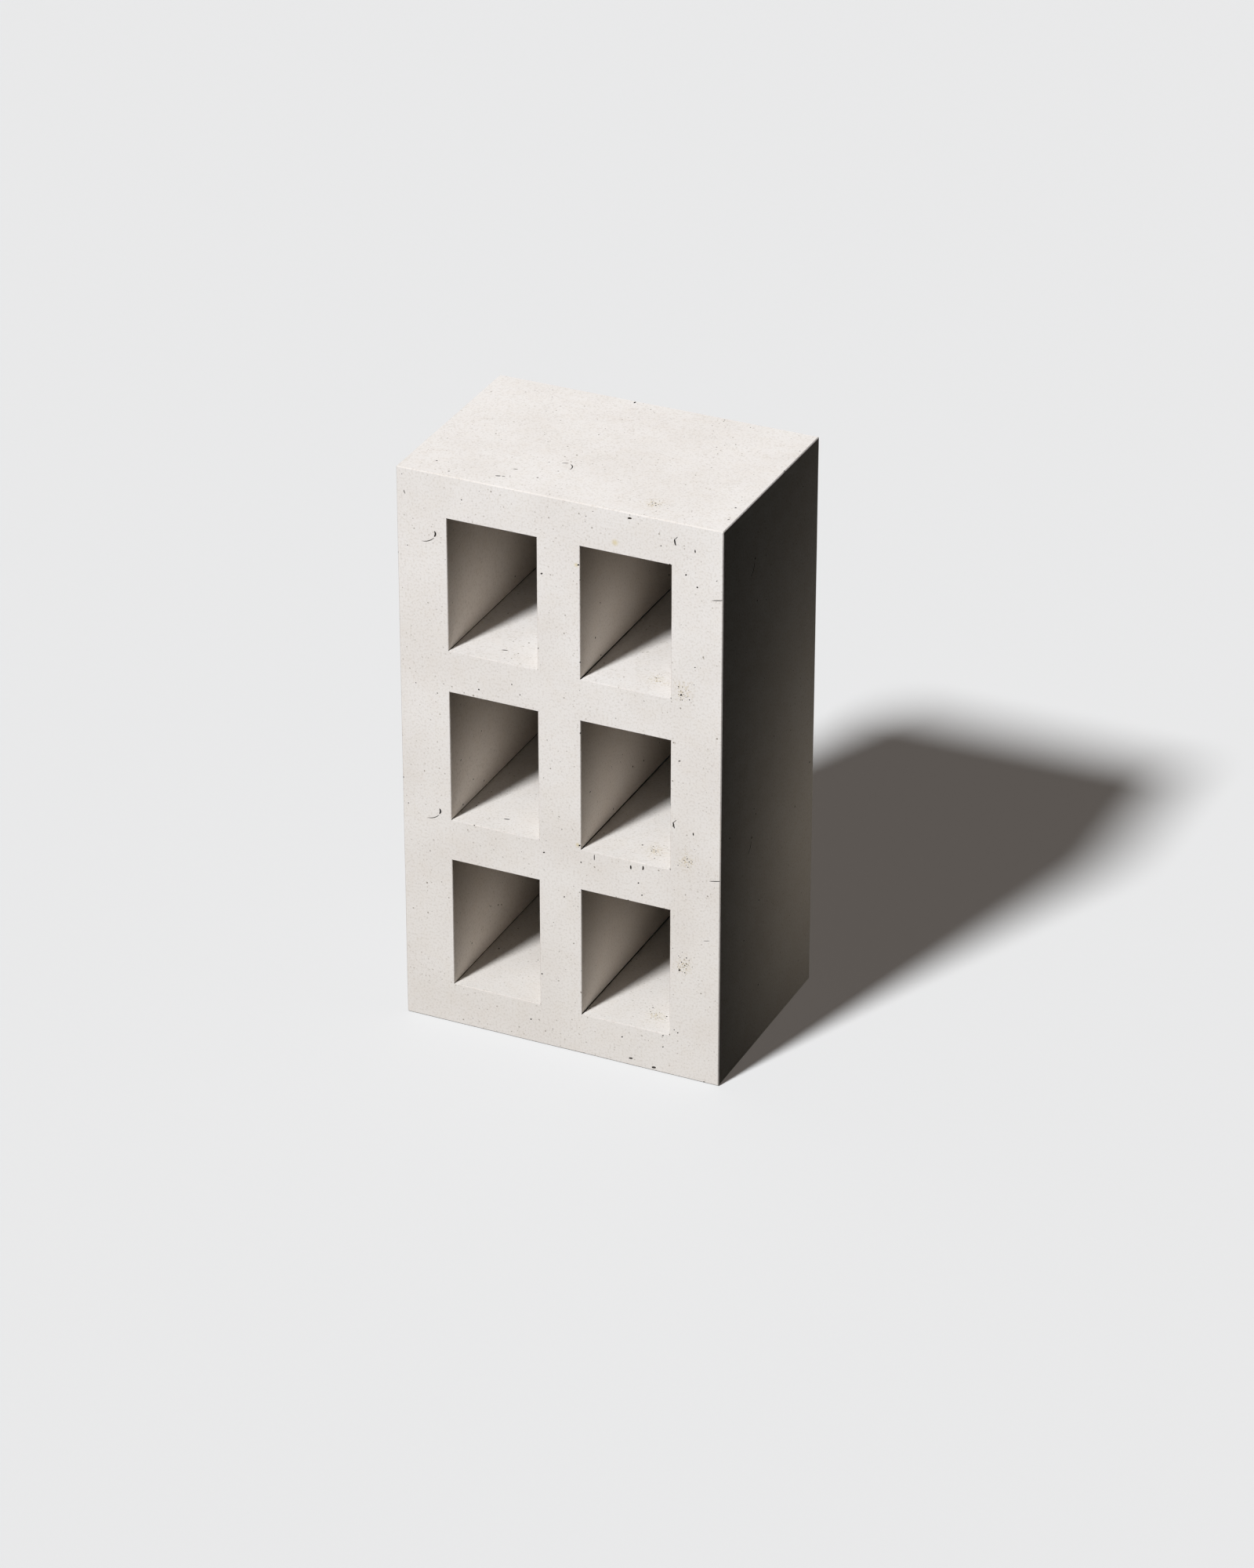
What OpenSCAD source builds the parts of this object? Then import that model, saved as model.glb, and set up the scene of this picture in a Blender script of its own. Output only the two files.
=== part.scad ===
// Hollow concrete block, cast in one piece and standing on one end.
// Straight rectangular cells in columns and rows run through it from front to back.
// X is across the columns of cells, Y is along the cells and Z is along the block.
// The origin is the centre of the end that it stands on.

/* [Block] */
// Length of the block, which is upright here
block_length = 400; // [320:5:500]
// Width of the block across its columns of cells
block_width = 225; // [180:5:300]
// Height of the block along its cells, from one cored face to the other
block_height = 150; // [80:5:250]

/* [Walls] */
// Thickness of the two long outer walls
face_shell = 35; // [25:1:40]
// Thickness of the wall at each end of the block
end_wall = 30; // [25:1:40]
// Thickness of the web between two columns of cells
long_web = 30; // [25:1:40]
// Thickness of the web between two cells of a column
cross_web = 30; // [25:1:40]

/* [Cells] */
// Number of columns of cells across the block
cell_columns = 2; // [1:1:3]
// Number of cells in each column
cell_rows = 3; // [1:1:4]

/* [Edges] */
// Width of the small 45 degree arris on the block's outer edges
outer_arris = 0.6; // [0.2:0.2:4]
// Width of the small 45 degree arris round both mouths of each cell
mouth_arris = 0.4; // [0.2:0.2:4]

/* [Hidden] */
// Colour of dry, pale cast concrete
concrete_colour = "#dcd8d1";
// How far a cutter runs past the face that it cuts
overrun = 1;
cell_width = (block_width - 2 * face_shell - (cell_columns - 1) * long_web) / cell_columns;
cell_length = (block_length - 2 * end_wall - (cell_rows - 1) * cross_web) / cell_rows;
column_pitch = cell_width + long_web;
row_pitch = cell_length + cross_web;

// Rectangle centred on the origin, with its corners cut off at 45 degrees.
module eased_rectangle(width, height, arris) {
    x = width / 2;
    y = height / 2;
    polygon([
        [arris - x, -y], [x - arris, -y],
        [x, arris - y], [x, y - arris],
        [x - arris, y], [arris - x, y],
        [-x, y - arris], [-x, arris - y]
    ]);
}

// Outer form of the block, centred on the origin, with an arris on all twelve edges.
module eased_body() {
    intersection() {
        linear_extrude(block_length, center = true)
            eased_rectangle(block_width, block_height, outer_arris);
        rotate([90, 0, 0])
            linear_extrude(block_height, center = true)
                eased_rectangle(block_width, block_length, outer_arris);
        rotate([90, 0, 90])
            linear_extrude(block_width, center = true)
                eased_rectangle(block_height, block_length, outer_arris);
    }
}

// Section along a cell's core: straight between the arrises, flared at 45 degrees at both faces.
module core_section(width) {
    side = width / 2;
    straight_end = block_height / 2 - mouth_arris;
    cutter_end = block_height / 2 + overrun;
    flared_side = side + mouth_arris + overrun;
    polygon([
        [-flared_side, -cutter_end], [flared_side, -cutter_end],
        [side, -straight_end], [side, straight_end],
        [flared_side, cutter_end], [-flared_side, cutter_end],
        [-side, straight_end], [-side, -straight_end]
    ]);
}

// Solid that cuts one cell, centred on the origin and running along Y.
module cell_core() {
    flare = 2 * (mouth_arris + overrun);
    intersection() {
        linear_extrude(cell_length + flare, center = true) core_section(cell_width);
        rotate([0, 90, 0])
            linear_extrude(cell_width + flare, center = true) core_section(cell_length);
    }
}

// The block itself: the eased body with its columns and rows of cells cut through.
module concrete_block() {
    color(concrete_colour)
        translate([0, 0, block_length / 2])
            difference() {
                eased_body();
                for (column = [0 : cell_columns - 1], row = [0 : cell_rows - 1])
                    translate([
                        (column - (cell_columns - 1) / 2) * column_pitch,
                        0,
                        (row - (cell_rows - 1) / 2) * row_pitch
                    ])
                        cell_core();
            }
}

concrete_block();
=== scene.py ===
import random
from math import cos, pi, radians, sin

import bmesh
import bpy
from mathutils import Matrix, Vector, noise
from mathutils.bvhtree import BVHTree
from mathutils.kdtree import KDTree


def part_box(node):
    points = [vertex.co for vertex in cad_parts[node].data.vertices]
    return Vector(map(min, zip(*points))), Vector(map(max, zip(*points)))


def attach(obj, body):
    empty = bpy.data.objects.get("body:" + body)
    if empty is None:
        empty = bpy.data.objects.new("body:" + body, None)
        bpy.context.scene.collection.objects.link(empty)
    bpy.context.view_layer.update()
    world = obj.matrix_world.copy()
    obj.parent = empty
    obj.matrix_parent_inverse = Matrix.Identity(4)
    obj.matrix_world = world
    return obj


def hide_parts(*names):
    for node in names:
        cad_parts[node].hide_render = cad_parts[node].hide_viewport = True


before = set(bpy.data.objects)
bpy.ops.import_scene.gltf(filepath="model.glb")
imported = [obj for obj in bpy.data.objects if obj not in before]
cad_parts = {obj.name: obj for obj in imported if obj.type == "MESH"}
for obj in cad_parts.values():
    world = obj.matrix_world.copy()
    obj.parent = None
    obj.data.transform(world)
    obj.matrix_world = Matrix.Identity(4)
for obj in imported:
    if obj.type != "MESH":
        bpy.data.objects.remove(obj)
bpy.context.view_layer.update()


# The block's body is one piece of fine, pale concrete, cast in a smooth steel mould round six cores.
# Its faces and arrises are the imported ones. The mould lets its faces bow by a tenth of a millimetre,
# so they are cut on a fine grid that can carry the bows.
BLOCK_NODE = "concrete_block"
BODY_NAME = "root"
MM = 0.001
MERGE_DISTANCE = 0.01 * MM
GRID_STEP = 6 * MM
BOW_HEIGHT = 0.1 * MM
BOW_LENGTH = 40 * MM
INSIDE_CORNER = radians(-80)

foot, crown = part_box(BLOCK_NODE)
cast = bmesh.new()
cast.from_mesh(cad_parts[BLOCK_NODE].data)
bmesh.ops.remove_doubles(cast, verts=cast.verts, dist=MERGE_DISTANCE)
cast_surface = BVHTree.FromBMesh(cast)

# The inside corners of the cells, each with the direction that points out of the corner
corner_lines = []
for edge in cast.edges:
    if edge.calc_face_angle_signed(0) < INSIDE_CORNER:
        outwards = sum((face.normal for face in edge.link_faces), Vector()).normalized()
        corner_lines.append(([vertex.co.copy() for vertex in edge.verts], outwards))

for axis in range(3):
    reach = crown[axis] - foot[axis]
    steps = round(reach / GRID_STEP)
    along = Vector([float(axis == number) for number in range(3)])
    for step in range(1, steps):
        bmesh.ops.bisect_plane(
            cast,
            geom=cast.verts[:] + cast.edges[:] + cast.faces[:],
            dist=MERGE_DISTANCE,
            plane_co=along * (foot[axis] + reach * step / steps),
            plane_no=along,
        )
cast.normal_update()
for vertex in cast.verts:
    vertex.co += vertex.normal * BOW_HEIGHT * noise.noise(vertex.co / BOW_LENGTH)
block_mesh = bpy.data.meshes.new("cast_block")
cast.to_mesh(block_mesh)
cast.free()
block_mesh.attributes.remove(block_mesh.attributes["custom_normal"])
block = bpy.data.objects.new("cast_block", block_mesh)
bpy.context.scene.collection.objects.link(block)


# The finish is smooth cast concrete straight from the mould, dry and unsealed. The eye gets a warm
# off-white with faint clouds, fine grain, grey sand and a little ochre where air gathered. Painted shade
# greys it deep in the cells, up their walls and towards the foot, and dims the highlight on the arrises.
# The cells' walls carry a painted warm shade tint, and their floors a painted cool tint against the warm
# light bounced in them.
PASTE = "#ede9e6"
CLOUD_VEIL = "#faf9f8"
WARM_VEIL = "#fcfaf7"
# Painted shade and tints: towards the foot, on the cells' walls and floors, and the arrises' dimmed
# highlight
FOOT_SHADE_VEIL = "#f4f3f1"
WALL_WARM_SHADE_VEIL = "#fffbf5"
WALL_SHADE_VEIL = "#d6d4d1"
WALL_TOP_SHADE_VEIL = "#d6d5d3"
BOUNCE_COOLING_VEIL = "#f9fbfd"
FLOOR_SHADE_VEIL = "#e8e8e8"
ARRIS_SHADE_VEIL = "#e8e7e6"
GRAIN_VEIL = "#edebe8"
FINE_VEIL = "#d7d4d0"
SAND_VEIL = "#a5a199"
OCHRE_VEIL = "#f1e6bd"
HALO_VEIL = "#f2ead4"
NEST_VEIL = "#8d8670"
CLOUD_SIZE = 60 * MM
PATCH_SIZE = 25 * MM
MOTTLE_SIZE = 10 * MM
# The real grain is about 0.5 mm wide. It is drawn three times as coarse, so that it shows.
GRAIN_SIZE = 1.5 * MM
FINE_SPACING = 2.8 * MM
FINE_RADIUS = 0.7 * MM
FINE_SHARE = 0.8
SAND_SPACING = 5.0 * MM
SAND_RADIUS = 0.8 * MM
SAND_SHARE = 0.8
NEST_SPACING = 1.6 * MM
NEST_SPECK_RADIUS = 0.5 * MM
NEST_SPECK_SHARE = 0.7
SPECK_CORE = 0.4
UNEVENNESS = 0.8 * MM
SANDY_PATCHES = (0.36, 0.58)
NEST_CORE = (0.0, 0.5)
WALL_TOP = (0.33, 1.0)
MOTTLE_LOW = 0.3
MOTTLE_HIGH = 0.7
RELIEF_HEIGHT = 0.1 * MM
RELIEF_STRENGTH = 0.6
SMOOTHEST = 0.82
ROUGHEST = 0.94
CONCRETE_IOR = 1.5
GLOSS = 0.06
# What the mesh carries for the veils: nearness to a nest, all but the cells' walls, depth and height on
# those walls, depth on the cells' floors, and the arrises. All but the nests steer painted shade and tints.
NEST_ATTRIBUTE = "nest"
POINT_ATTRIBUTES = (NEST_ATTRIBUTE, "open_face", "cell_wall", "wall_top", "cell_floor")
ARRIS_ATTRIBUTE = "arris"
STAIN_STRENGTH = 0.8
# Ochre stains, each with its place and its radius in millimetres
stains = [((39, -75, 377.6), 3.4), ((12.5, -75, 356.5), 2.2), ((12.5, -75, 156), 2.2)]


def linear(hex_code):
    """Turns an sRGB hex colour into the linear one that a shader takes."""
    shares = [int(hex_code[place:place + 2], 16) / 255 for place in (1, 3, 5)]
    levels = [s / 12.92 if s <= 0.04045 else ((s + 0.055) / 1.055) ** 2.4 for s in shares]
    return (*levels, 1.0)


def add_node(tree, kind, inputs=None, **settings):
    """Adds a node with its settings. An input takes a value, a socket, or a node's first output."""
    node = tree.nodes.new(kind)
    for name, value in settings.items():
        setattr(node, name, value)
    in_use = [socket for socket in node.inputs if socket.enabled]
    for name, value in (inputs or {}).items():
        socket = in_use[name] if isinstance(name, int) else next(s for s in in_use if s.name == name)
        if isinstance(value, bpy.types.Node):
            value = next(output for output in value.outputs if output.enabled)
        if isinstance(value, bpy.types.NodeSocket):
            tree.links.new(value, socket)
        else:
            socket.default_value = value
    return node


def specks(tree, place, spacing, radius, share):
    """Scatters specks of uneven strength, at a share of the places, as numbers from 0 to 1."""
    cells = add_node(tree, "ShaderNodeTexVoronoi", {"Vector": place, "Scale": 1 / spacing})
    luck = add_node(tree, "ShaderNodeSeparateColor", {"Color": cells.outputs["Color"]})
    strength = add_node(
        tree,
        "ShaderNodeMapRange",
        {"Value": luck, "From Min": 1 - share},
        interpolation_type="SMOOTHSTEP",
    )
    rim = radius / spacing
    return add_node(
        tree,
        "ShaderNodeMapRange",
        {
            "Value": cells.outputs["Distance"],
            "From Min": rim,
            "From Max": SPECK_CORE * rim,
            "To Max": strength,
        },
        interpolation_type="SMOOTHSTEP",
    )


concrete = bpy.data.materials.new("Cast_concrete_smooth")
concrete.use_nodes = True
shading = concrete.node_tree
shading.nodes.clear()
place = add_node(shading, "ShaderNodeTexCoord").outputs["Object"]
level = add_node(shading, "ShaderNodeSeparateXYZ", {"Vector": place}).outputs["Z"]
# Each noise has the size of its patches and how many finer layers lie on them
clouds, patches, mottle, grain = [
    add_node(shading, "ShaderNodeTexNoise", {"Vector": place, "Scale": 1 / size, "Detail": layers})
    for size, layers in ((CLOUD_SIZE, 4.0), (PATCH_SIZE, 2.0), (MOTTLE_SIZE, 3.0), (GRAIN_SIZE, 2.0))
]
nest_share, open_share, wall_share, top_share, floor_share, arris_share = [
    add_node(shading, "ShaderNodeAttribute", attribute_name=name).outputs["Fac"]
    for name in (*POINT_ATTRIBUTES, ARRIS_ATTRIBUTE)
]
sandy, nest_core = [
    add_node(
        shading,
        "ShaderNodeMapRange",
        {"Value": source, "From Min": start, "From Max": full},
        interpolation_type="SMOOTHSTEP",
    )
    for source, start, full in ((patches, *SANDY_PATCHES), (nest_share, *NEST_CORE))
]
uneven_place = add_node(
    shading,
    "ShaderNodeVectorMath",
    {0: grain.outputs["Color"], 1: [UNEVENNESS] * 3, 2: place},
    operation="MULTIPLY_ADD",
)
fine_specks, sand_specks, nest_specks = [
    specks(shading, uneven_place, *sizes)
    for sizes in (
        (FINE_SPACING, FINE_RADIUS, FINE_SHARE),
        (SAND_SPACING, SAND_RADIUS, SAND_SHARE),
        (NEST_SPACING, NEST_SPECK_RADIUS, NEST_SPECK_SHARE),
    )
]

# Each veil is a thin tint over the paste. It has what it follows, the values of that at which it
# starts and is full, its strength, and its colour.
veils = [
    (clouds, 0.65, 0.35, 1.0, CLOUD_VEIL),
    (mottle, 0.4, 0.7, 0.4, WARM_VEIL),
    # Painted shade: darker towards the foot as the light falls off, except on the cells' walls
    (level, crown.z, foot.z, open_share, FOOT_SHADE_VEIL),
    # Painted warm shade tint on the cells' walls
    (wall_share, 0.0, 0.02, 1.0, WALL_WARM_SHADE_VEIL),
    # Painted shade: the cells' walls darken deeper in
    (wall_share, 0.125, 1.125, 1.0, WALL_SHADE_VEIL),
    # Painted shade: the cells' walls darken towards the cells' tops
    (top_share, *WALL_TOP, 1.0, WALL_TOP_SHADE_VEIL),
    # Painted cool tint on the cells' floors, against the warm light bounced in the cells
    (floor_share, 0.0, 0.02, 1.0, BOUNCE_COOLING_VEIL),
    # Painted shade: the cells' floors darken deeper in
    (floor_share, 0.0, 1.0, 1.0, FLOOR_SHADE_VEIL),
    # Painted shade that dims the highlight on the arrises
    (arris_share, 0.0, 1.0, 1.0, ARRIS_SHADE_VEIL),
    (grain, 0.45, 0.75, 0.8, GRAIN_VEIL),
    (fine_specks, 0.0, 1.0, sandy, FINE_VEIL),
    (sand_specks, 0.0, 1.0, sandy, SAND_VEIL),
    (grain, 0.4, 0.65, nest_share, HALO_VEIL),
    (nest_specks, 0.0, 1.0, nest_core, NEST_VEIL),
]
for middle, radius in stains:
    gap = add_node(
        shading, "ShaderNodeVectorMath", {0: place, 1: Vector(middle) * MM}, operation="DISTANCE"
    )
    veils.append((gap, radius * MM, 0.0, STAIN_STRENGTH, OCHRE_VEIL))
colour = linear(PASTE)
for source, start, full, strength, veil in veils:
    share = add_node(
        shading,
        "ShaderNodeMapRange",
        {"Value": source, "From Min": start, "From Max": full, "To Max": strength},
        interpolation_type="SMOOTHSTEP",
    )
    colour = add_node(
        shading,
        "ShaderNodeMix",
        {"Factor": share, "A": colour, "B": linear(veil)},
        data_type="RGBA",
        blend_type="MULTIPLY",
    )
roughness = add_node(
    shading,
    "ShaderNodeMapRange",
    {
        "Value": mottle,
        "From Min": MOTTLE_LOW,
        "From Max": MOTTLE_HIGH,
        "To Min": SMOOTHEST,
        "To Max": ROUGHEST,
    },
)
relief = add_node(
    shading,
    "ShaderNodeBump",
    {"Height": grain, "Distance": RELIEF_HEIGHT, "Strength": RELIEF_STRENGTH},
)
surface = add_node(
    shading,
    "ShaderNodeBsdfPrincipled",
    {
        "Base Color": colour,
        "Roughness": roughness,
        "IOR": CONCRETE_IOR,
        "Specular IOR Level": GLOSS,
        "Normal": relief,
    },
)
add_node(shading, "ShaderNodeOutputMaterial", {"Surface": surface})
block_mesh.materials.append(concrete)


# Hair marks are thin voids that the cast leaves in its skin, and corner lines run in the cells' inside
# corners; both are cut into the body. Hair marks are shallow grooves, and corner lines are fine grooves
# that stand for the shade in those creases. The paste in both is painted near-black, as painted shade.
HOLLOW_SHADE_DARK = "#110f0e"
HOLLOW_SHADE_PALE = "#37322d"
HOLLOW_SIZE = 9 * MM
HOLLOW_LOW = 0.4
HOLLOW_HIGH = 0.65
MARK_STATIONS = 7
MARK_TIP = 0.4
MARK_LIFT = 0.1 * MM
MARK_DEPTH = 0.45
HOLE_STRETCH = 1.2
HOLE_TURN = 35
CORNER_WIDTH_LEFT = 0.9 * MM
CORNER_WIDTH_RIGHT = 1.4 * MM
CORNER_LIFT = 1.2 * MM
CORNER_DEPTH = 0.7 * MM
CORNER_OVERRUN = 1.0 * MM
SQUARE_ENOUGH = 0.9

hollow_shade = bpy.data.materials.new("Painted_shade_in_air_holes")
hollow_shade.use_nodes = True
shading = hollow_shade.node_tree
shading.nodes.clear()
place = add_node(shading, "ShaderNodeTexCoord").outputs["Object"]
depth = add_node(shading, "ShaderNodeTexNoise", {"Vector": place, "Scale": 1 / HOLLOW_SIZE})
paleness = add_node(
    shading,
    "ShaderNodeMapRange",
    {"Value": depth, "From Min": HOLLOW_LOW, "From Max": HOLLOW_HIGH},
    interpolation_type="SMOOTHSTEP",
)
colour = add_node(
    shading,
    "ShaderNodeMix",
    {"Factor": paleness, "A": linear(HOLLOW_SHADE_DARK), "B": linear(HOLLOW_SHADE_PALE)},
    data_type="RGBA",
)
surface = add_node(shading, "ShaderNodeBsdfPrincipled", {"Base Color": colour, "Roughness": 1.0})
add_node(shading, "ShaderNodeOutputMaterial", {"Surface": surface})

# Each mark has its place, which the nearest face takes, its length and width, its turn from level and
# its bend, in millimetres and degrees. The first list comes twice, 200 millimetres apart.
REPEAT_DROP = 200
twice_seen_marks = [
    ((-95.2, -75, 350.9), 10.0, 0.8, 4, 50),
    ((-86.4, -75, 355.6), 4.4, 1.5, 52, 85),
    ((81.7, -75, 390.4), 3.2, 0.6, -135, 10),
    ((79.5, -75, 388.6), 4.6, 1.2, -86, 18),
    ((93.4, -75, 384), 2.2, 1.1, -88, 0),
    ((104.8, -75, 351.3), 8.4, 0.8, 12, 0),
    ((112.5, -26.2, 357.8), 10.5, 0.9, -98, -66),
]
seen_marks = [
    ((-107.3, -75, 384.3), 2.8, 0.9, -80, 20),
    ((47.7, -75, 396.3), 2.8, 1.5, 8, 0),
    ((49.9, -75, 149.8), 2.8, 1.4, -88, 0),
    ((58.2, -75, 148.4), 3.2, 1.3, 65, 50),
    ((24.2, -75, 151.6), 4.2, 0.9, -90, 0),
    ((101, -75, 106.4), 4.6, 0.5, 14, 0),
    ((65, -75, 2.2), 3.0, 1.8, 10, 0),
    ((48.6, -75, 5), 2.8, 1.4, 10, 0),
    ((-19.2, -28, 400), 4.2, 0.9, 22, -10),
    ((-13.6, -27.4, 400), 8.4, 0.9, -35, -80),
    ((-49.4, -62, 400), 3.4, 1.3, 18, 0),
    ((-45.6, -60.8, 400), 2.0, 0.9, 18, 0),
    ((-43.6, -48.4, 400), 3.0, 0.9, 12, 0),
    ((-15.2, 71.4, 400), 2.4, 1.5, 85, 0),
    ((-47.4, -60, 276.7), 4.0, 1.2, 15, 0),
    ((-47.4, -60, 153.3), 4.0, 1.2, 15, 0),
]
seen_marks += twice_seen_marks
seen_marks += [((x, y, z - REPEAT_DROP), *form) for (x, y, z), *form in twice_seen_marks]

# Single round holes, each with its place and its width in millimetres
seen_holes = [
    ((-12.2, -75, 345), 1.3), ((-12.2, -75, 144.2), 1.3), ((13.2, -75, 356.4), 1.3),
    ((13.2, -75, 155.4), 1.3), ((70, -75, 381.7), 0.8), ((86.8, -75, 365), 1.2),
    ((107.8, -75, 365.3), 0.8), ((93.5, -75, 302), 0.8), ((83.8, -75, 280.3), 1.4),
    ((83.3, -75, 233.2), 1.0), ((54.8, -75, 137.8), 1.0), ((57.3, -75, 129.4), 1.0),
    ((83.7, -75, 80.1), 1.4), ((82.9, -75, 32.8), 1.0), ((72.4, -75, 28), 1.0),
    ((72.4, -75, 19.4), 1.0), ((43.3, -75, 19.6), 1.0), ((-92.9, -58.2, 400), 1.1),
    ((-79.2, -68.7, 400), 1.1), ((-24.7, -53.8, 400), 1.1), ((107.6, -58.1, 400), 1.1),
    ((-77.5, -61, 189.6), 1.2), ((-77.5, -27.6, 157.7), 1.2), ((15, -61.8, 188), 1.2),
    ((15, -26.5, 157.7), 1.2), ((112.5, -26.2, 359), 1.4), ((112.5, -26.2, 159), 1.4),
    ((112.5, 44.7, 146), 1.2),
]


def groove(mesh, line, outwards, half_widths, lift, depth):
    """Adds a closed three-sided cutter along a line of points, with its keel under the surface."""
    rings = []
    for number, point in enumerate(line):
        ahead = line[min(number + 1, len(line) - 1)] - line[max(number - 1, 0)]
        sideways = outwards.cross(ahead).normalized() * half_widths[number]
        share = half_widths[number] / max(half_widths)
        corners = (
            point + sideways + outwards * lift,
            point - outwards * depth * share,
            point - sideways + outwards * lift,
        )
        rings.append([mesh.verts.new(corner) for corner in corners])
    for ring, following in zip(rings, rings[1:]):
        for side in range(3):
            turn = (side + 1) % 3
            mesh.faces.new((ring[side], ring[turn], following[turn], following[side]))
    mesh.faces.new(reversed(rings[0]))
    mesh.faces.new(rings[-1])


def hair_mark(mesh, start, length, width, turn, bend):
    """Cuts one hair mark, which starts on the face nearest to a place and bends more and more."""
    point, outwards = cast_surface.find_nearest(Vector(start) * MM)[:2]
    upwards = Vector((0, 1, 0)) if abs(outwards.z) > SQUARE_ENOUGH else Vector((0, 0, 1))
    across = upwards.cross(outwards)
    line = []
    half_widths = []
    for station in range(MARK_STATIONS):
        share = station / (MARK_STATIONS - 1)
        swell = MARK_TIP + (1 - MARK_TIP) * sin(pi * share) ** 0.5
        line.append(point.copy())
        half_widths.append(0.5 * width * MM * swell)
        heading = radians(turn + bend * share)
        stride = length * MM / (MARK_STATIONS - 1)
        point = point + (across * cos(heading) + upwards * sin(heading)) * stride
    groove(mesh, line, outwards, half_widths, MARK_LIFT, MARK_DEPTH * width * MM)


marks = bmesh.new()
for mark in seen_marks:
    hair_mark(marks, *mark)
for start, width in seen_holes:
    hair_mark(marks, start, width * HOLE_STRETCH, width, HOLE_TURN, 0)

# The left side and the back have such marks too, at places of no importance
HIDDEN_MARKS = 22
HIDDEN_LENGTHS = (2, 3, 4, 5, 9)
HIDDEN_WIDTHS = (0.7, 1.4)
BEND_A_MILLIMETRE = 10
EDGE_ROOM = 12 * MM
chance = random.Random(5)


def hidden_place(number):
    """Picks a place in millimetres on the left side and the back in turn, clear of edges and cells."""
    while True:
        within = [(low + EDGE_ROOM, high - EDGE_ROOM) for low, high in zip(foot, crown)]
        place = Vector([chance.uniform(*reach) for reach in within])
        if number % 2:
            place.x = foot.x
        else:
            place.y = crown.y
        if cast_surface.find_nearest(place)[3] < MERGE_DISTANCE:
            return place / MM


for number in range(HIDDEN_MARKS):
    start = hidden_place(number)
    length = chance.choice(HIDDEN_LENGTHS)
    bend = chance.uniform(-1, 1) * BEND_A_MILLIMETRE * length
    hair_mark(marks, start, length, chance.uniform(*HIDDEN_WIDTHS), chance.uniform(0, 360), bend)
# Corner lines: fine grooves in the cells' inside corners, with paste painted near-black as the shade in the
# creases
for ends, outwards in corner_lines:
    width = CORNER_WIDTH_LEFT if ends[0].x < 0 else CORNER_WIDTH_RIGHT
    overrun = (ends[1] - ends[0]).normalized() * CORNER_OVERRUN
    line = [ends[0] - overrun, ends[1] + overrun]
    groove(marks, line, outwards, [width / 2] * 2, CORNER_LIFT, CORNER_DEPTH)
bmesh.ops.recalc_face_normals(marks, faces=marks.faces)
marks_mesh = bpy.data.meshes.new("mark_cutters")
marks.to_mesh(marks_mesh)
marks.free()
marks_mesh.materials.append(hollow_shade)
mark_cutters = bpy.data.objects.new("mark_cutters", marks_mesh)
bpy.context.scene.collection.objects.link(mark_cutters)


# Pinholes are small air bubbles that the mould wall held, open where the skin over them broke.
# Most lie in nests about 15 millimetres wide and a few elsewhere, and the arrises have small nicks.
# All are cut into the body, with the same painted near-black shade in them as in the marks.
NEST_RADIUS = 8 * MM
HIDDEN_NESTS = 14
# Points deeper than SKIN_DEPTH belong to the cells. Their painted shade grows over FRONT_FADE from the
# front, with a lead at the mouth, and clears over BACK_FADE at the back. INWARDS moves a point past the
# arris.
SKIN_DEPTH = 0.3 * MM
INWARDS = 0.97
FRONT_FADE = 160 * MM
FLOOR_LEAD = 46 * MM
WALL_LEAD = 4 * MM
BACK_FADE = 15 * MM
# The holes' funnels are one across at the face, and their widths are set where they are placed
FUNNEL_SIDES = 8
FUNNEL_RIM = 0.65
FUNNEL_DEPTH = 0.5
FUNNEL_SINK = 0.385
SMALL_HOLE_BIAS = 3.0
SMOOTH_LIMIT = radians(25)
nests = [
    (86, -75, 284), (87, -75, 84), (89, -75, 162),
    (57, -57, 400),
    (59, -56, 276.7), (59, -57, 153.3), (60, -57, 30),
]
nests += [hidden_place(number) for number in range(HIDDEN_NESTS)]
nest_tree = KDTree(len(nests))
for number, nest in enumerate(nests):
    nest_tree.insert(Vector(nest) * MM, number)
nest_tree.balance()
floor_levels = [ends[0].z for ends, outwards in corner_lines if outwards.z > 0]
cell_height = min(ends[0].z for ends, outwards in corner_lines if outwards.z < 0) - min(floor_levels)


def note_points(mesh):
    """Keeps on each point its nearness to a nest, and how deep and how high it lies in a cell."""
    for name in POINT_ATTRIBUTES:
        if name not in mesh.attributes:
            mesh.attributes.new(name, "FLOAT", "POINT")
    kept = [mesh.attributes[name] for name in POINT_ATTRIBUTES]
    for number, vertex in enumerate(mesh.vertices):
        point = vertex.co
        nest_gap = nest_tree.find(point)[2]
        depths = [min(here - low, high - here) for low, here, high in zip(foot, point, crown)]
        in_cell = min(depths) > SKIN_DEPTH
        past_arris = point * Vector((1, INWARDS, 1))
        on_floor = in_cell and cast_surface.find_nearest(past_arris)[1].z > SQUARE_ENOUGH
        on_wall = in_cell and not on_floor
        from_front = point.y - foot.y
        from_back = (crown.y - point.y) / BACK_FADE
        height = point.z - max((level for level in floor_levels if level < point.z), default=foot.z)
        values = (
            max(0.0, 1 - nest_gap / NEST_RADIUS),
            float(not on_wall),
            on_wall * min((from_front + WALL_LEAD) / FRONT_FADE, from_back),
            on_wall * height / cell_height,
            on_floor * min((from_front + FLOOR_LEAD) / FRONT_FADE, from_back),
        )
        for attribute, value in zip(kept, values):
            attribute.data[number].value = value


def note_faces(mesh):
    """Keeps on each face whether it is part of an arris."""
    on_arris = mesh.attributes.new(ARRIS_ATTRIBUTE, "FLOAT", "FACE")
    for face, share in zip(mesh.polygons, on_arris.data):
        share.value = float(max(map(abs, face.normal)) < SQUARE_ENOUGH)


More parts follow.
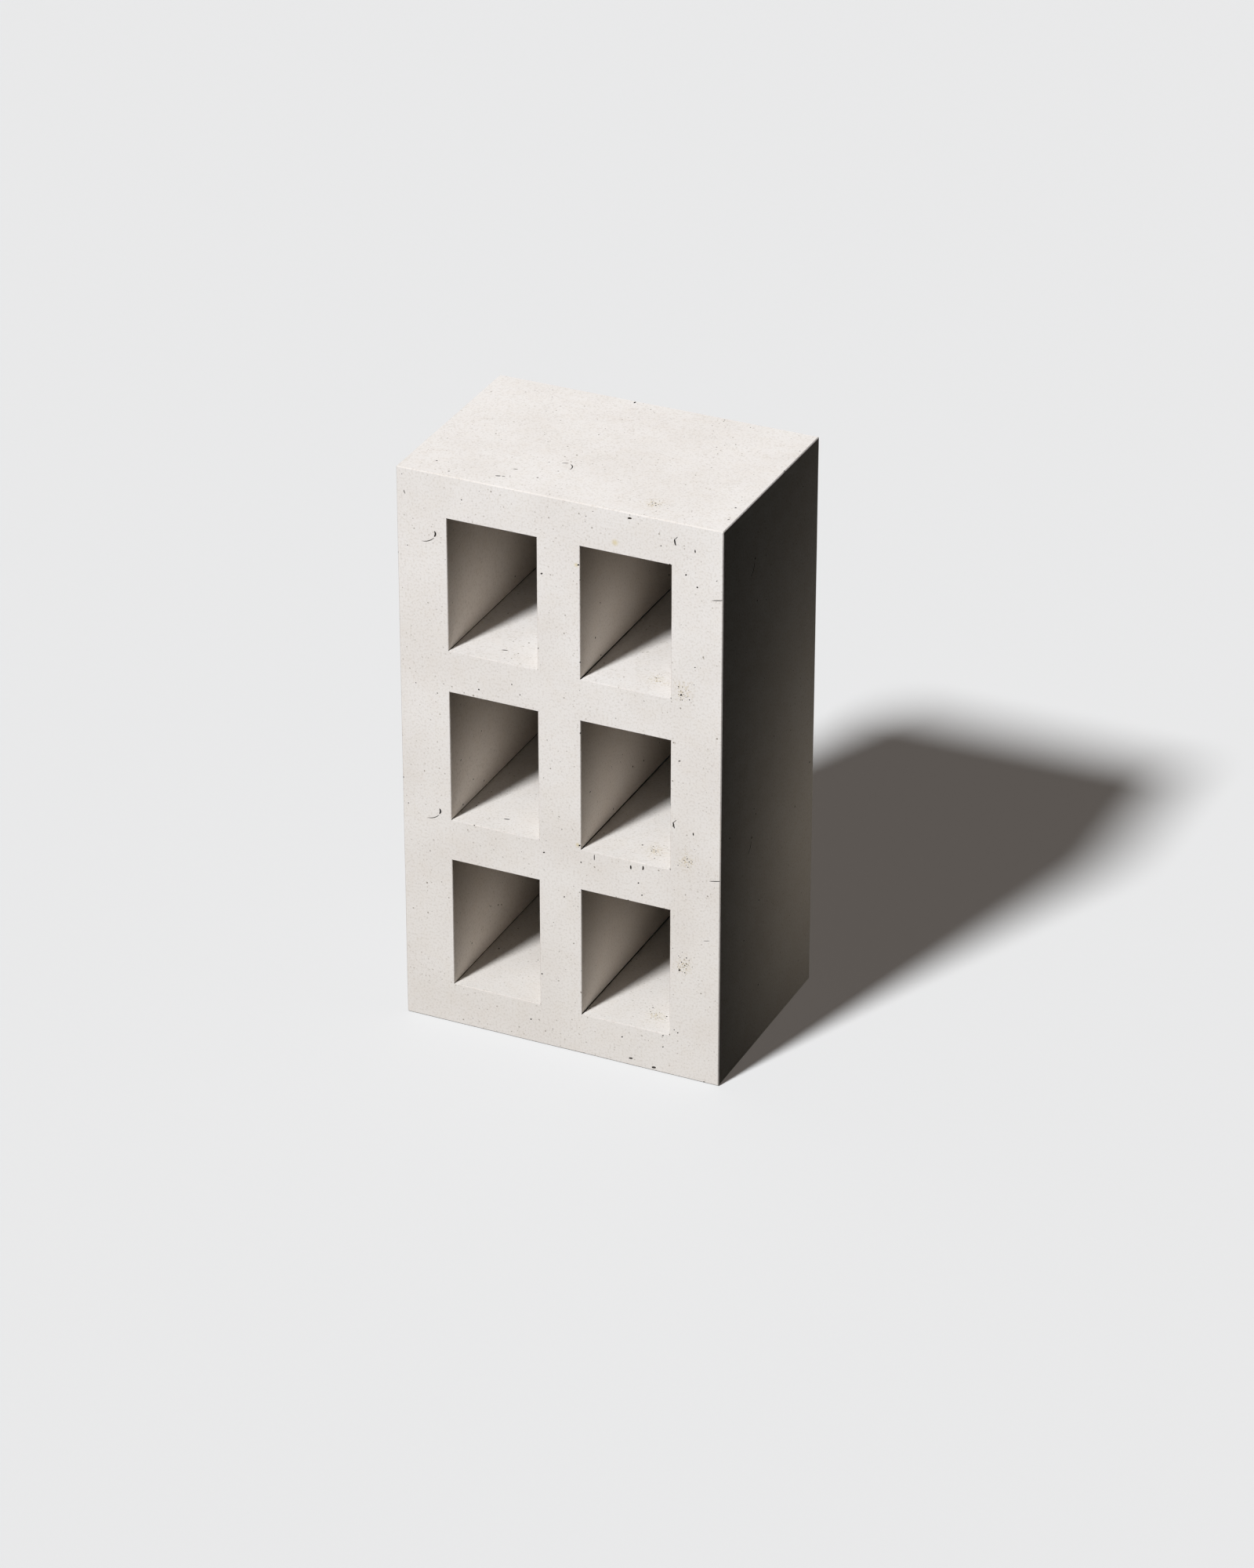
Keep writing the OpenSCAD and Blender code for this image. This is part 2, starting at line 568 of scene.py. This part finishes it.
note_points(block_mesh)
holes = bpy.data.node_groups.new("air_holes", "GeometryNodeTree")
holes.interface.new_socket("Geometry", in_out="OUTPUT", socket_type="NodeSocketGeometry")
hole_settings = {
    "Geometry": ("NodeSocketGeometry", None),
    "Holes in a nest per square metre": ("NodeSocketFloat", 260000.0),
    "Share of them elsewhere": ("NodeSocketFloat", 0.003),
    "Least hole spacing": ("NodeSocketFloat", 1.4 * MM),
    "Smallest hole": ("NodeSocketFloat", 0.5 * MM),
    "Largest hole": ("NodeSocketFloat", 1.4 * MM),
    "Nicks per square metre of arris": ("NodeSocketFloat", 16000.0),
    "Least nick spacing": ("NodeSocketFloat", 6 * MM),
    "Smallest nick": ("NodeSocketFloat", 0.3 * MM),
    "Largest nick": ("NodeSocketFloat", 0.9 * MM),
    "Hole painted shade": ("NodeSocketMaterial", hollow_shade),
    "Seed": ("NodeSocketInt", 4),
}
hole_sockets = {
    name: holes.interface.new_socket(name, in_out="INPUT", socket_type=kind)
    for name, (kind, value) in hole_settings.items()
}
given = add_node(holes, "NodeGroupInput").outputs

# The pinholes are eight-sided funnels that point into the face, and most of them are small
nearness = add_node(holes, "GeometryNodeInputNamedAttribute", {"Name": NEST_ATTRIBUTE}, data_type="FLOAT")
hole_share = add_node(
    holes, "ShaderNodeMath", {0: nearness, 1: given["Share of them elsewhere"]}, operation="MAXIMUM"
)
hole_points = add_node(
    holes,
    "GeometryNodeDistributePointsOnFaces",
    {
        "Mesh": given["Geometry"],
        "Distance Min": given["Least hole spacing"],
        "Density Max": given["Holes in a nest per square metre"],
        "Density Factor": hole_share,
        "Seed": given["Seed"],
    },
    distribute_method="POISSON",
)
funnel = add_node(
    holes,
    "GeometryNodeMeshCone",
    {"Vertices": FUNNEL_SIDES, "Radius Top": FUNNEL_RIM, "Radius Bottom": 0.0, "Depth": FUNNEL_DEPTH},
)
sunk_funnel = add_node(
    holes,
    "GeometryNodeTransform",
    {"Geometry": funnel, "Translation": (0.0, 0.0, -FUNNEL_SINK)},
)
luck = add_node(holes, "FunctionNodeRandomValue", {"Seed": given["Seed"]}, data_type="FLOAT")
small_luck = add_node(holes, "ShaderNodeMath", {0: luck, 1: SMALL_HOLE_BIAS}, operation="POWER")
hole_width = add_node(
    holes,
    "ShaderNodeMapRange",
    {"Value": small_luck, "To Min": given["Smallest hole"], "To Max": given["Largest hole"]},
)
pinholes = add_node(
    holes,
    "GeometryNodeInstanceOnPoints",
    {
        "Points": hole_points,
        "Instance": sunk_funnel,
        "Rotation": hole_points.outputs["Rotation"],
        "Scale": hole_width,
    },
)

# The nicks are rough balls along the arrises, which face no axis squarely
normal = add_node(holes, "GeometryNodeInputNormal")
facing = add_node(holes, "ShaderNodeVectorMath", {0: normal}, operation="ABSOLUTE")
squareness, across, upwards = add_node(holes, "ShaderNodeSeparateXYZ", {"Vector": facing}).outputs
for other in (across, upwards):
    squareness = add_node(holes, "ShaderNodeMath", {0: squareness, 1: other}, operation="MAXIMUM")
on_arris = add_node(holes, "ShaderNodeMath", {0: squareness, 1: SQUARE_ENOUGH}, operation="LESS_THAN")
nick_points = add_node(
    holes,
    "GeometryNodeDistributePointsOnFaces",
    {
        "Mesh": given["Geometry"],
        "Selection": on_arris,
        "Distance Min": given["Least nick spacing"],
        "Density Max": given["Nicks per square metre of arris"],
        "Seed": given["Seed"],
    },
    distribute_method="POISSON",
)
ball = add_node(holes, "GeometryNodeMeshIcoSphere", {"Radius": 1.0, "Subdivisions": 1})
nick_size = add_node(
    holes,
    "FunctionNodeRandomValue",
    {"Min": given["Smallest nick"], "Max": given["Largest nick"], "Seed": given["Seed"]},
    data_type="FLOAT_VECTOR",
)
nicks = add_node(
    holes,
    "GeometryNodeInstanceOnPoints",
    {
        "Points": nick_points,
        "Instance": ball,
        "Rotation": nick_points.outputs["Rotation"],
        "Scale": nick_size,
    },
)
both = add_node(holes, "GeometryNodeJoinGeometry", {"Geometry": nicks})
holes.links.new(pinholes.outputs["Instances"], both.inputs["Geometry"])
plain_cutters = add_node(holes, "GeometryNodeRealizeInstances", {"Geometry": both})
dark_cutters = add_node(
    holes,
    "GeometryNodeSetMaterial",
    {"Geometry": plain_cutters, "Material": given["Hole painted shade"]},
)
add_node(holes, "NodeGroupOutput", {"Geometry": dark_cutters})

piercing = block.modifiers.new("air_holes", "NODES")
piercing.node_group = holes
for name, (kind, value) in hole_settings.items():
    if value is not None:
        piercing[hole_sockets[name].identifier] = value
graph = bpy.context.evaluated_depsgraph_get()
hole_mesh = bpy.data.meshes.new_from_object(block.evaluated_get(graph))
block.modifiers.clear()
hole_mesh.attributes.remove(hole_mesh.attributes["id"])
hole_cutters = bpy.data.objects.new("hole_cutters", hole_mesh)
bpy.context.scene.collection.objects.link(hole_cutters)

for cutters in (hole_cutters, mark_cutters):
    cut = block.modifiers.new(cutters.name, "BOOLEAN")
    cut.operation = "DIFFERENCE"
    cut.solver = "MANIFOLD"
    cut.material_mode = "TRANSFER"
    cut.object = cutters
graph = bpy.context.evaluated_depsgraph_get()
finished = bpy.data.meshes.new_from_object(block.evaluated_get(graph))
block.modifiers.clear()
block.data = finished
finished.name = "cast_block"
finished.shade_smooth()
finished.set_sharp_from_angle(angle=SMOOTH_LIMIT)
note_points(finished)
note_faces(finished)
bpy.data.objects.remove(hole_cutters)
bpy.data.objects.remove(mark_cutters)
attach(block, BODY_NAME)
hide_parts(BLOCK_NODE)


# The floor is a wide sheet of pale matt card under the block, which keeps the block's shadow.
# The camera sees it nearly white. To the block it is dark, so that it throws hardly any light back.
FLOOR_DARK = "#080807"
FLOOR_SEEN = "#747576"
SHADOW_TINT = "#fff2e8"
SHADOW_GLOW = 0.1
FLOOR_REACH = 30.0
FLOOR_GAP = 0.2 * MM

floor_mesh = bpy.data.meshes.new("floor")
corners = [(-1, -1), (1, -1), (1, 1), (-1, 1)]
floor_mesh.from_pydata([(x * FLOOR_REACH, y * FLOOR_REACH, -FLOOR_GAP) for x, y in corners], [], [range(4)])
floor = bpy.data.objects.new("floor", floor_mesh)
bpy.context.scene.collection.objects.link(floor)

card = bpy.data.materials.new("Pale_matt_card")
card.use_nodes = True
shading = card.node_tree
shading.nodes.clear()


def seen_directly(tree):
    """Returns 1 for rays from the camera, by themselves or by way of a mirror or glass."""
    path = add_node(tree, "ShaderNodeLightPath").outputs
    seen = path["Is Camera Ray"]
    for other in (path["Is Glossy Ray"], path["Is Transmission Ray"]):
        seen = add_node(tree, "ShaderNodeMath", {0: seen, 1: other}, operation="MAXIMUM")
    return seen


dark = add_node(shading, "ShaderNodeBsdfDiffuse", {"Color": linear(FLOOR_DARK)})
bright = add_node(shading, "ShaderNodeBsdfDiffuse", {"Color": linear(FLOOR_SEEN)})
glow = add_node(shading, "ShaderNodeEmission", {"Color": linear(SHADOW_TINT), "Strength": SHADOW_GLOW})
seen = add_node(shading, "ShaderNodeAddShader", {0: bright, 1: glow})
either = add_node(shading, "ShaderNodeMixShader", {0: seen_directly(shading), 1: dark, 2: seen})
add_node(shading, "ShaderNodeOutputMaterial", {"Surface": either})
floor_mesh.materials.append(card)


# One soft lamp stands to the front left, high up, and a twin of it lights the floor alone. The rest is
# a little warm, and weak: a ceiling sends light down, a panel stands behind, a small card low on the
# right is for the block alone, and the room gives a trace of light from all round.
LAMP_TINT = "#ffffff"
ROOM_TINT = "#fff4e4"
LAMP_TURN = 71
LAMP_HEIGHT = 45
LAMP_SOFTNESS = 7.5
LAMP_POWER = 4.55
FLOOR_LAMP_POWER = 13.5
CEILING_SOFTNESS = 60
CEILING_POWER = 0.05
PANEL_TURN = 270
PANEL_HEIGHT = 4
PANEL_SOFTNESS = 8
PANEL_POWER = 0.26
CARD_PLACE = (0.33, 0.08, 0.11)
CARD_TURN = 133
CARD_SIZE = 0.12
CARD_POWER = 0.085
ROOM_FILL = 0.001
BACKDROP = 0.83


def from_side(turn, height):
    """Returns the direction at a turn from the left side to the front, and a height over the floor."""
    turn, height = radians(turn), radians(height)
    return Vector((-cos(turn) * cos(height), -sin(turn) * cos(height), sin(height)))


def add_lamp(name, kind, towards, power, tint, only=None):
    """Adds a lamp that stands in a direction and may light one piece only."""
    lamp = bpy.data.objects.new(name, bpy.data.lights.new(name, kind))
    lamp.data.energy = power
    lamp.data.color = linear(tint)[:3]
    lamp.rotation_euler = towards.to_track_quat("Z", "Y").to_euler()
    bpy.context.scene.collection.objects.link(lamp)
    if only:
        lit = bpy.data.collections.new(f"lit_by_{name}")
        lit.objects.link(only)
        lamp.light_linking.receiver_collection = lit
    return lamp


key_side = from_side(LAMP_TURN, LAMP_HEIGHT)
overhead = Vector((0, 0, 1))
behind = from_side(PANEL_TURN, PANEL_HEIGHT)
for name, towards, power, softness, tint, only in (
    ("soft_key", key_side, LAMP_POWER, LAMP_SOFTNESS, LAMP_TINT, None),
    ("floor_key", key_side, FLOOR_LAMP_POWER, LAMP_SOFTNESS, LAMP_TINT, floor),
    ("ceiling", overhead, CEILING_POWER, CEILING_SOFTNESS, ROOM_TINT, None),
    ("panel_behind", behind, PANEL_POWER, PANEL_SOFTNESS, ROOM_TINT, None),
):
    lamp = add_lamp(name, "SUN", towards, power, tint, only)
    lamp.data.angle = radians(softness)
card_light = add_lamp("card_at_right", "AREA", from_side(CARD_TURN, 0), CARD_POWER, ROOM_TINT, block)
card_light.location = CARD_PLACE
card_light.data.size = CARD_SIZE
card_light.visible_camera = False

room = bpy.data.worlds.new("room")
bpy.context.scene.world = room
room.use_nodes = True
shading = room.node_tree
shading.nodes.clear()
brightness = add_node(
    shading,
    "ShaderNodeMapRange",
    {"Value": seen_directly(shading), "To Min": ROOM_FILL, "To Max": BACKDROP},
)
light = add_node(shading, "ShaderNodeBackground", {"Strength": brightness})
add_node(shading, "ShaderNodeOutputWorld", {"Surface": light})


# The camera stands to the right of the front and looks down on the block, as in the photograph.
# Its turn and height are in degrees, its lens in millimetres, and the rest in metres.
VIEW_TURN = 24.70
VIEW_HEIGHT = 28.95
VIEW_DISTANCE = 3.727
VIEW_LENS = 128.6
VIEW_RIGHT = 0.0116
VIEW_UP = 0.1400

turn, height = radians(VIEW_TURN), radians(VIEW_HEIGHT)
towards_camera = Vector((sin(turn) * cos(height), -cos(turn) * cos(height), sin(height)))
camera_data = bpy.data.cameras.new("camera")
camera_data.lens = VIEW_LENS
camera = bpy.data.objects.new("camera", camera_data)
bpy.context.scene.collection.objects.link(camera)
facing = towards_camera.to_track_quat("Z", "Y")
aim = facing @ Vector((VIEW_RIGHT, VIEW_UP, 0))
camera.location = aim + towards_camera * VIEW_DISTANCE
camera.rotation_euler = facing.to_euler()
bpy.context.scene.camera = camera
bpy.context.scene.view_settings.view_transform = "Standard"
